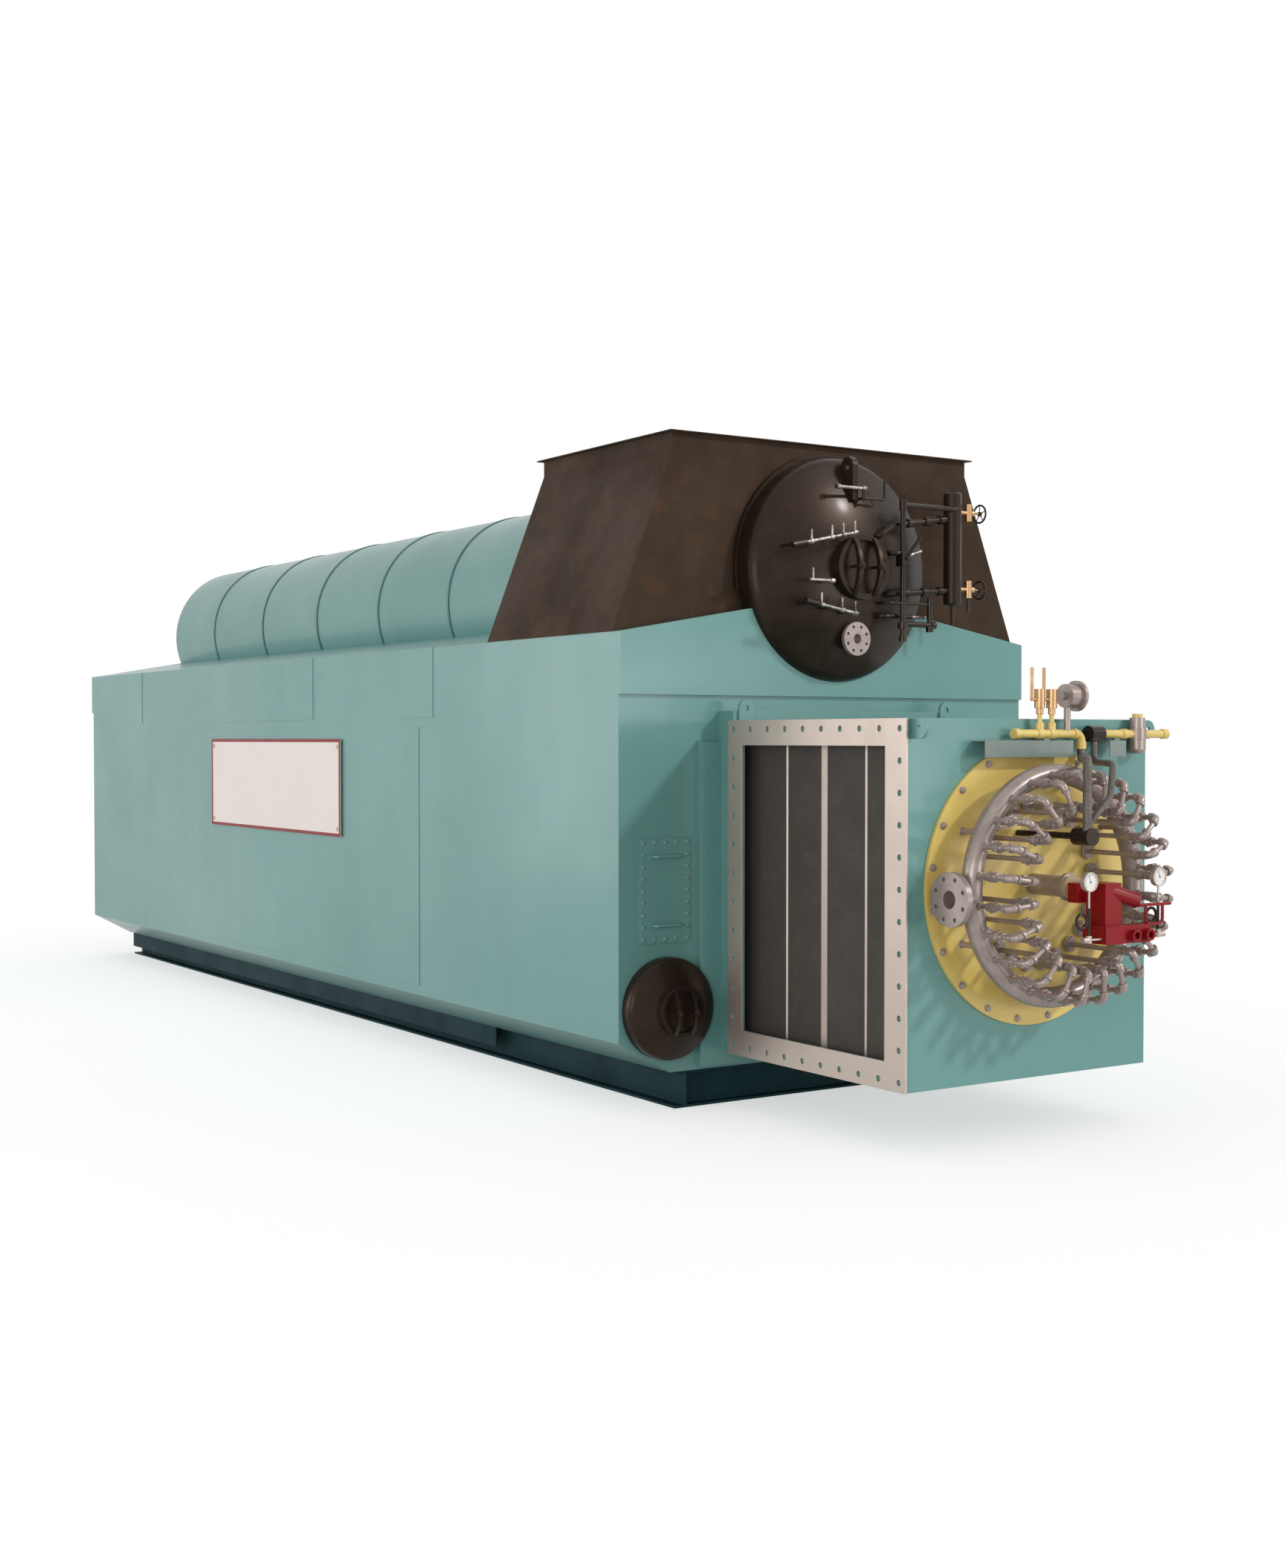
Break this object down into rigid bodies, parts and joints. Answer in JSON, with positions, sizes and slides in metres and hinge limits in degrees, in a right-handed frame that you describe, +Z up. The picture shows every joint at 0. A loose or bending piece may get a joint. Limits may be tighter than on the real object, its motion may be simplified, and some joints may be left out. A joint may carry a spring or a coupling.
{
  "type": "industrial watertube boiler",
  "caption": "Packaged industrial watertube boiler on a skid, with steam drum, lower drums, flue gas hopper, windbox and ring-fed gas burner.",
  "frame": {"origin": "underside of the front cross beam of the skid, at the middle of the beam", "axes": "+X to the boiler's right seen from the burner end, +Y along the boiler to its rear, +Z up"},
  "size_m": [3.226, 12.7951, 4.057],
  "materials": {
    "teal_paint": "satin enamel",
    "dark_teal_steel": "satin enamel",
    "drum_steel": "dark brown gloss paint",
    "hopper_steel": "dark brown primer",
    "nickel_steel": "satin",
    "bright_steel": "machined",
    "yellow_paint": "gloss enamel",
    "brass": "satin",
    "sign_enamel": "gloss enamel",
    "black_paint": "black gloss paint on threaded pipe",
    "grey_paint": "grey green paint",
    "red_paint": "red enamel",
    "sight_glass": "pale cast ring",
    "hose_rubber": "braided rubber hose"
  },
  "bodies": {
    "root": {"skid_beam_left": "dark_teal_steel", "skid_beam_right": "dark_teal_steel", "skid_cross_beams": "dark_teal_steel", "skid_cover_plates": "dark_teal_steel", "casing_side_left": "teal_paint", "casing_side_right": "teal_paint", "casing_floor": "teal_paint", "front_wall": "teal_paint", "rear_wall": "teal_paint", "front_header": "teal_paint", "rear_header": "teal_paint", "roof_left": "teal_paint", "roof_right": "teal_paint", "side_panels_left": "teal_paint", "side_panels_right": "teal_paint", "sign_plate": "sign_enamel", "steam_drum": "drum_steel", "drum_lagging": "teal_paint", "drum_bands": "teal_paint", "drum_collar": "drum_steel", "drum_lugs": "drum_steel", "manway_rings": "drum_steel", "manway_covers": "drum_steel", "manway_yokes": "drum_steel", "feed_flange": "nickel_steel", "water_column": "drum_steel", "column_piping": "drum_steel", "gauge_valves": "brass", "lower_drum_left": "drum_steel", "lower_drum_right": "drum_steel", "hopper": "hopper_steel", "inspection_doors": "teal_paint", "door_handles": "teal_paint", "burner_frame": "teal_paint", "windbox": "teal_paint", "windbox_inlet_flange": "bright_steel", "damper_blades": "hopper_steel", "damper_bars": "bright_steel", "windbox_ears": "teal_paint", "burner_plate": "yellow_paint", "gas_ring": "nickel_steel", "ring_standoffs": "nickel_steel", "gas_pokers": "nickel_steel", "drum_risers": "black_paint", "test_cocks": "bright_steel", "gauge_trim": "black_paint", "gas_train_pipe": "yellow_paint", "gas_train_brackets": "grey_paint", "pilot_valves": "brass", "gas_train_fittings": "nickel_steel", "burner_gun": "nickel_steel", "sight_ring": "sight_glass", "gun_drive": "red_paint", "burner_gauges": "bright_steel", "burner_trim": "black_paint", "burner_hoses": "hose_rubber"}
  },
  "joints": []
}
